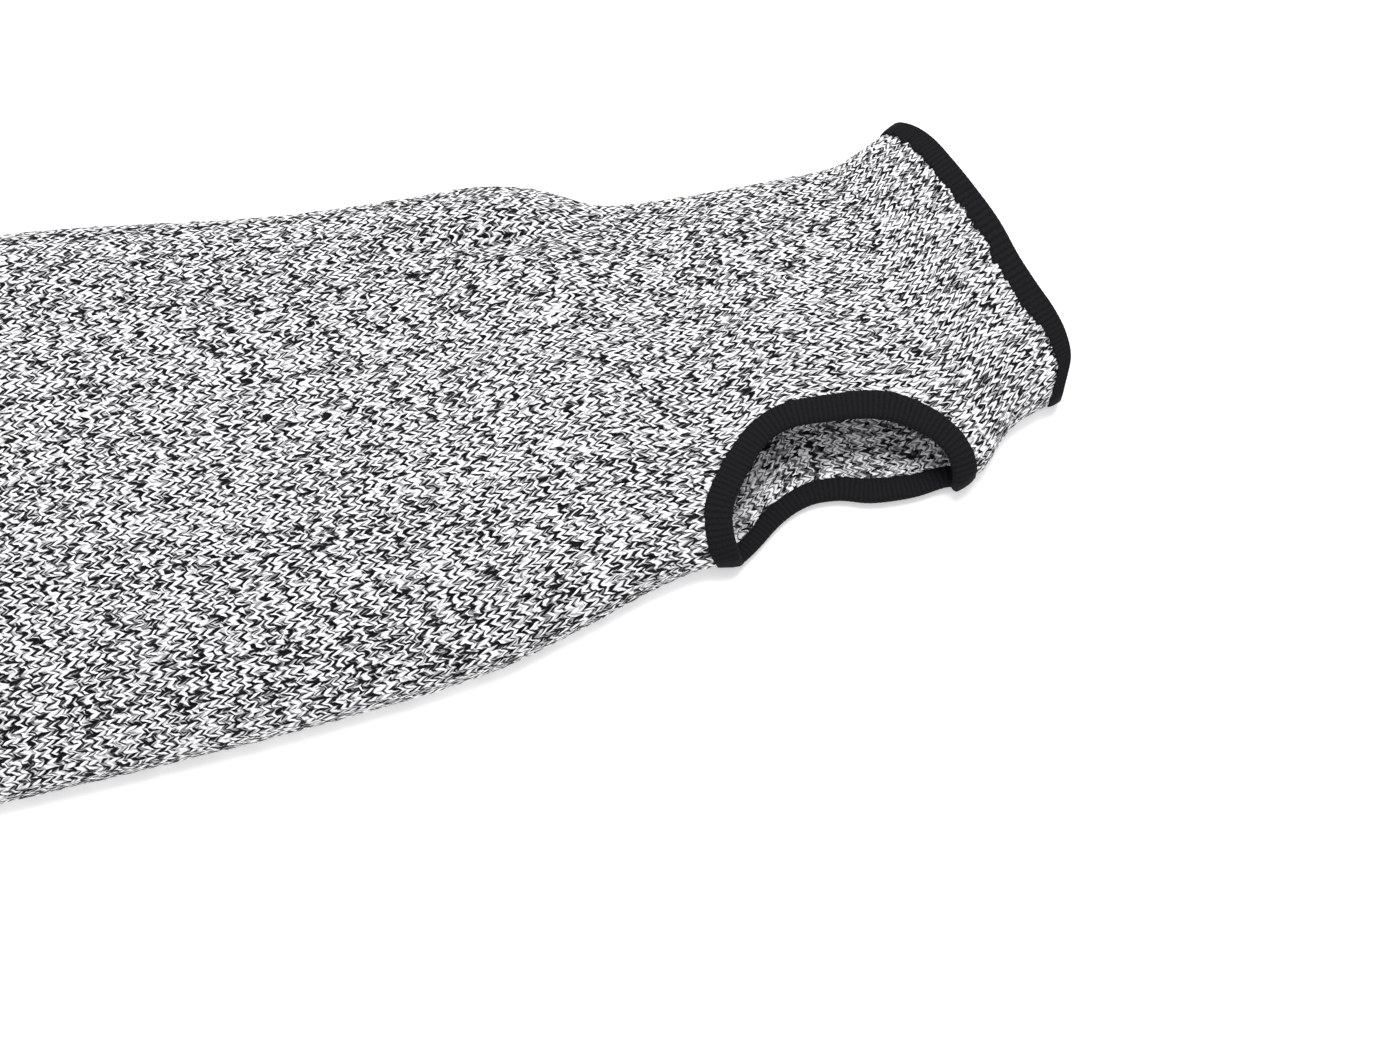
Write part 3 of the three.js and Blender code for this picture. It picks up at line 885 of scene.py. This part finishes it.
def edging(name, places_at, count, seed, material):
    """Edging folded over a rim, uneven by its ribs. places_at gives places on the
    cloth from positions round the rim, shares of the edging's width, and how far
    it reaches at each position."""
    position = steps(0, 1, count)[:-1]
    ribs = count // POINTS_PER_RIB
    rib_at = position * ribs
    ridge = np.abs(np.sin(rib_at * math.pi)) ** RIB_ROUNDNESS
    rng = np.random.default_rng(seed)
    uneven = rng.normal(0, RIB_UNEVENNESS, ribs)[rib_at.astype(int)]
    reach = 1 + uneven - RIB_DIP * (1 - ridge)
    places = places_at(position, steps(0, 1, EDGING_STEPS), reach)
    point = np.array([cloth_point(*place) for place in places])
    normal = np.array([cloth_slopes(*place)[2] for place in places])
    profile = folded_profile(point, normal, ridge)

    number = numbered(profile.shape[:2])
    loop = np.vstack([number, number[:1]]).T
    faces = grid_faces(np.vstack([loop, loop[:1]]), False)
    strides = np.linalg.norm(np.diff(profile, axis=0), axis=-1).mean(axis=1)
    travel = np.concatenate([[0], np.cumsum(strides), [strides.sum()]]) / RIB
    uv = np.stack(np.meshgrid(np.append(rib_at, ribs), travel, indexing="ij"), -1)
    corner = grid_faces(numbered(uv.shape[:2]), False)
    points = profile.reshape(-1, 3) + ARM_END
    return add_mesh(name, points, faces, uv.reshape(-1, 2)[corner], [material])


def arm_end_places(position, shares, reach):
    """Places behind the rim of the arm end, by positions round it."""
    return [(share * reach * EDGING_WIDTH, position * 2 * math.pi) for share in shares]


def hand_end_places(position, shares, reach):
    """Places behind the rim of the hand end, by positions round it."""
    around = -position * 2 * math.pi
    width = smooth_table(HAND_RIM, -np.cos(around))[1]
    return [(LENGTH - share * reach * width, around) for share in shares]


def slot_places(position, shares, reach):
    """Places behind the rim of the thumb slot, by positions evenly along it."""
    fine = steps(0, 2 * math.pi, SLOT_RIM_STEPS)
    travel = length_along(cloth_point(*slot_rim(fine)[:2]))
    angle = np.interp(position * travel[-1], travel, fine)
    places = away_from_slot(angle, shares)
    before = [places[0]] + places[:-1]
    return [
        (near[0] + (far[0] - near[0]) * reach, near[1] + (far[1] - near[1]) * reach)
        for near, far in zip(before, places)
    ]


def rib_points(places_at):
    """Mesh points round a rim, a whole number for each rib."""
    rim = places_at(steps(0, 1, LOOP_STEPS), [0], 1)[0]
    return round(length_along(cloth_point(*rim))[-1] / RIB) * POINTS_PER_RIB


def dress(piece, node):
    """Puts a piece on the one body, in place of its CAD node."""
    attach(piece, "root")
    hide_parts(node)


def pale_floor():
    bpy.ops.mesh.primitive_plane_add(size=FLOOR_SIZE, location=(0, 0, -FLOOR_DROP))
    floor = bpy.context.object
    floor.name = "floor"
    material = bpy.data.materials.new("Pale floor")
    material.use_nodes = True
    shader = material.node_tree.nodes["Principled BSDF"]
    shader.inputs["Base Color"].default_value = FLOOR_COLOUR
    shader.inputs["Roughness"].default_value = FLOOR_ROUGHNESS
    shader.inputs["Emission Color"].default_value = WHITE
    shader.inputs["Emission Strength"].default_value = FLOOR_GLOW
    floor.data.materials.append(material)


def soft_light(name, power, size, place):
    """A round lamp of a size that aims at the sleeve."""
    light = bpy.data.lights.new(name, "AREA")
    light.shape = "DISK"
    light.size = size
    light.energy = power
    lamp = bpy.data.objects.new(name, light)
    bpy.context.collection.objects.link(lamp)
    lamp.location = place
    lamp.rotation_mode = "QUATERNION"
    lamp.rotation_quaternion = (Vector(LAMP_TARGET) - Vector(place)).to_track_quat("-Z", "Y")


def studio():
    """White surroundings and two broad lamps, for light with hardly a shadow."""
    world = bpy.data.worlds.new("Studio")
    world.use_nodes = True
    background = world.node_tree.nodes["Background"]
    background.inputs["Color"].default_value = WHITE
    background.inputs["Strength"].default_value = SURROUNDINGS_STRENGTH
    bpy.context.scene.world = world
    for lamp in LAMPS:
        soft_light(*lamp)


def photo_camera():
    back = Vector((
        math.sin(CAMERA_AZIMUTH) * math.cos(CAMERA_ELEVATION),
        -math.cos(CAMERA_AZIMUTH) * math.cos(CAMERA_ELEVATION),
        math.sin(CAMERA_ELEVATION),
    ))
    camera = bpy.data.objects.new("camera", bpy.data.cameras.new("camera"))
    bpy.context.collection.objects.link(camera)
    camera.data.lens = CAMERA_LENS
    camera.location = Vector(LOOK_AT) + back * CAMERA_DISTANCE
    camera.rotation_mode = "QUATERNION"
    camera.rotation_quaternion = (-back).to_track_quat("-Z", "Y")
    bpy.context.scene.camera = camera


bpy.ops.object.select_all(action="DESELECT")

# Painted shade between the strands, and partly dark yarn there, for both knits
gaps = gap_shade_group()
jersey = marled_knit(
    "Marled jersey", jersey_group(), gaps, JERSEY_DARKEST, JERSEY_TONES, JERSEY_RELIEF
)
purl = marled_knit(
    "Marled purl side", purl_group(), gaps, PURL_DARKEST, PURL_TONES, PURL_RELIEF
)
black_rib = ribbed_edging("Ribbed edging")

body = knitted_body([jersey, purl])
dress(body, "sleeve_body")

for name, node, places_at, seed in (
    ("hand_edging", "hand_binding", hand_end_places, 11),
    ("arm_edging", "arm_binding", arm_end_places, 12),
    ("thumb_edging", "thumb_binding", slot_places, 13),
):
    loop = edging(name, places_at, rib_points(places_at), seed, black_rib)
    dress(loop, node)

# Flat size of the cloth, from the girths of its cross sections
middle_width = sum(section_at(np.array(LENGTH / 2))[:2])
girths = MIDDLE_GIRTH * sum(section_at(steps(0, LENGTH, GIRTH_STEPS))[:2]) / middle_width

pale_floor()
studio()
photo_camera()
bpy.context.scene.view_settings.view_transform = "Standard"
